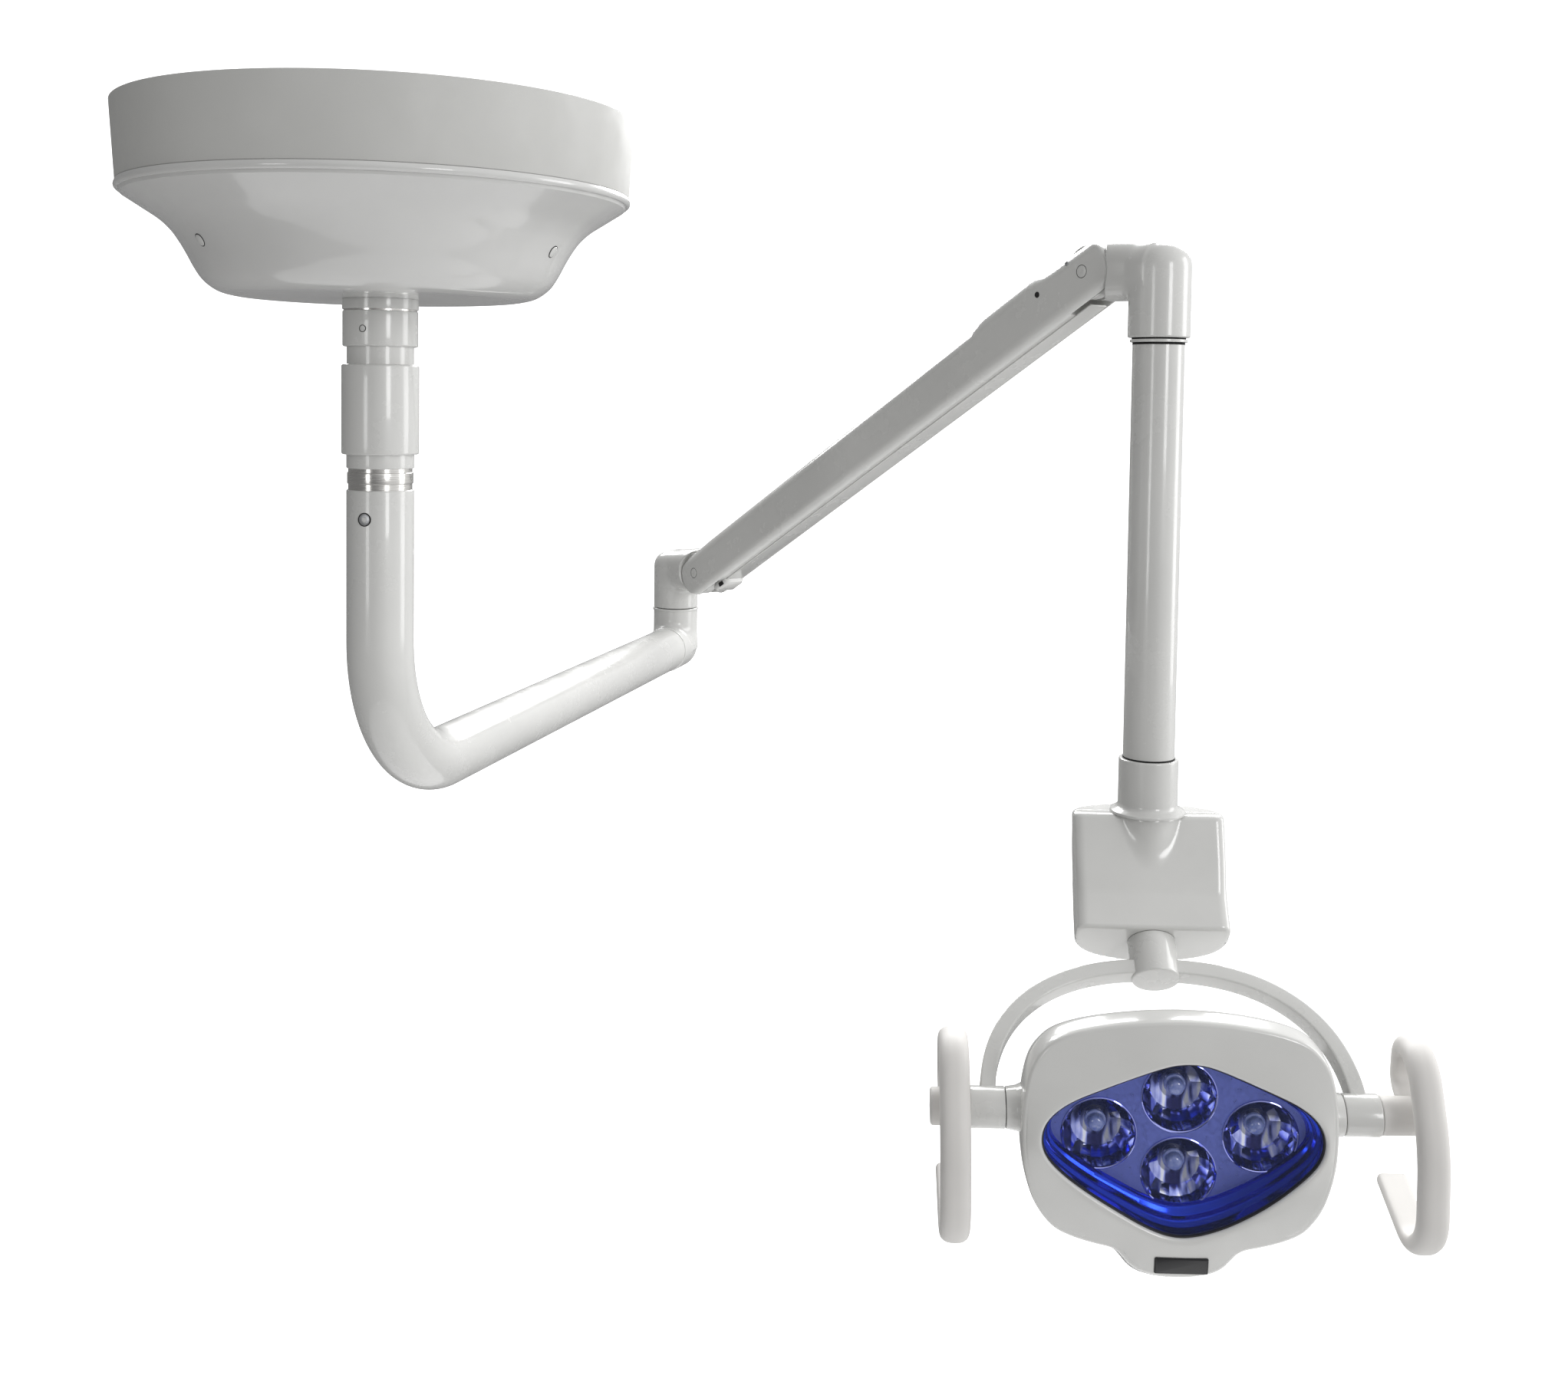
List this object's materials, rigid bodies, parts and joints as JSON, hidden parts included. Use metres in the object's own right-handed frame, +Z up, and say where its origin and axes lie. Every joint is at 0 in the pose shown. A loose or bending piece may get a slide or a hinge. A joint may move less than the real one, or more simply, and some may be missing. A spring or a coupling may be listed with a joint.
{
  "type": "surgical light",
  "caption": "Ceiling-mounted dental operating light with an S-arm, a spring-balanced arm, a drop tube and a tilting LED head with two handles.",
  "frame": {"origin": "centre of the bolt circle on the ceiling plate's top face, which lies against the ceiling", "axes": "+Z up along the main post's axis into the ceiling, -Y towards the person who stands in front of the light, +X to that person's right"},
  "size_m": [0.9776, 0.9101, 0.8677],
  "materials": {
    "white_enamel": "smooth gloss enamel",
    "matte_enamel": "fine matte paint",
    "white_plastic": "moulded, semi-gloss",
    "handle_plastic": "soft matte, autoclavable",
    "stainless": "turned and polished",
    "zinc_steel": "zinc plated",
    "dark_steel": "blackened",
    "spring_steel": "oiled spring wire",
    "bronze": "sintered, satin",
    "black_seal": "matte",
    "clear_cover": "clear polycarbonate, polished",
    "blue_mirror": "vacuum metallised, blue tint",
    "silver_mirror": "vacuum metallised, faceted",
    "led_yellow": "clear dome over a pale phosphor",
    "aluminium": "extruded",
    "display_black": "polished",
    "circuit_board": "solder mask",
    "brake_lining": "fibre lining"
  },
  "bodies": {
    "ceiling_mount": {"ceiling_plate": "zinc_steel", "canopy_band": "matte_enamel", "canopy_brackets": "zinc_steel", "canopy_bowl": "white_enamel", "canopy_caps": "white_plastic", "power_supply": "aluminium", "ceiling_tube": "white_enamel", "mount_screws": "zinc_steel", "canopy_collar": "white_enamel", "neck_sleeve": "white_enamel", "thrust_bearing": "stainless", "pivot_shaft": "zinc_steel", "shaft_retainer": "dark_steel"},
    "s_arm": {"s_arm_tube": "white_enamel", "s_arm_bushes": "bronze", "brake_screw": "stainless", "brake_pad": "brake_lining", "elbow_casting": "white_enamel"},
    "elbow": {"lower_knuckle": "white_enamel", "elbow_retainer": "dark_steel", "lower_lug_bushes": "bronze", "lower_rod_pins": "zinc_steel"},
    "spring_arm": {"arm_shell": "white_enamel", "arm_bottom_cover": "white_plastic", "arm_hump_cover": "white_plastic", "pivot_pins": "zinc_steel", "pivot_screws": "stainless", "spring_anchor": "zinc_steel"},
    "spring_rod": {"pull_rod": "zinc_steel", "spring_seat": "zinc_steel", "balance_spring": "spring_steel"},
    "level_rod": {"tie_rod": "zinc_steel"},
    "upper_joint": {"upper_knuckle": "white_enamel", "upper_bushes": "bronze", "upper_rod_pin": "zinc_steel"},
    "drop_arm": {"drop_tube": "white_enamel", "drop_retainer": "dark_steel", "drop_collar": "white_enamel", "driver_box_front": "white_plastic", "driver_box_rear": "white_plastic", "hub_socket": "aluminium", "driver_board": "circuit_board"},
    "yoke_frame": {"yoke_hub": "white_enamel", "spindle_retainer": "dark_steel", "yoke": "white_enamel", "yoke_bushes": "bronze"},
    "lamp_head": {"head_bezel": "white_plastic", "head_rear_shell": "white_plastic", "head_screws": "stainless", "window_gasket": "black_seal", "window_cover": "clear_cover", "reflector_tray": "blue_mirror", "reflectors": "silver_mirror", "led_modules": "led_yellow", "heat_sink": "aluminium", "display_window": "display_black", "display_board": "circuit_board", "tilt_shafts": "stainless", "left_handle": "handle_plastic", "right_handle": "handle_plastic"}
  },
  "joints": [
    {"name": "post_swivel", "type": "hinge", "parent": "ceiling_mount", "child": "s_arm", "pos_m": [0, 0, -0.3], "axis": [0, 0, 1], "range_deg": [-160, 160]},
    {"name": "elbow_swivel", "type": "hinge", "parent": "s_arm", "child": "elbow", "pos_m": [0.171, 0.70146, -0.444], "axis": [0, 0, 1], "range_deg": [-33, 288]},
    {"name": "arm_pitch", "type": "hinge", "parent": "elbow", "child": "spring_arm", "pos_m": [0.2122, 0.65003, -0.397], "axis": [0.7804, 0.6252, 0], "range_deg": [-6, 74]},
    {"name": "spring_rod_swing", "type": "hinge", "parent": "elbow", "child": "spring_rod", "pos_m": [0.2122, 0.65003, -0.384], "axis": [0.7804, 0.6252, 0], "range_deg": [-6, 74], "deforming": ["balance_spring"]},
    {"name": "level_rod_swing", "type": "hinge", "parent": "elbow", "child": "level_rod", "pos_m": [0.2122, 0.65003, -0.41], "axis": [0.7804, 0.6252, 0], "range_deg": [-6, 74]},
    {"name": "head_leveller", "type": "hinge", "parent": "spring_arm", "child": "upper_joint", "pos_m": [0.56165, 0.21385, -0.08847], "axis": [0.7804, 0.6252, 0], "range_deg": [-74, 6]},
    {"name": "drop_swivel", "type": "hinge", "parent": "upper_joint", "child": "drop_arm", "pos_m": [0.60285, 0.16242, -0.146], "axis": [0, 0, 1], "range_deg": [-165, 165]},
    {"name": "yoke_roll", "type": "hinge", "parent": "drop_arm", "child": "yoke_frame", "pos_m": [0.5972, 0.0276, -0.73733], "axis": [0.0306, 0.7307, 0.682], "range_deg": [-60, 60]},
    {"name": "head_tilt", "type": "hinge", "parent": "yoke_frame", "child": "lamp_head", "pos_m": [0.5972, 0.0276, -0.73733], "axis": [0.9982, -0.0573, 0.0166], "range_deg": [-40, 90]}
  ],
  "couplings": [
    {"joint": "spring_rod_swing", "follows": "arm_pitch", "ratio": 1},
    {"joint": "level_rod_swing", "follows": "arm_pitch", "ratio": 1},
    {"joint": "head_leveller", "follows": "arm_pitch", "ratio": -1}
  ]
}
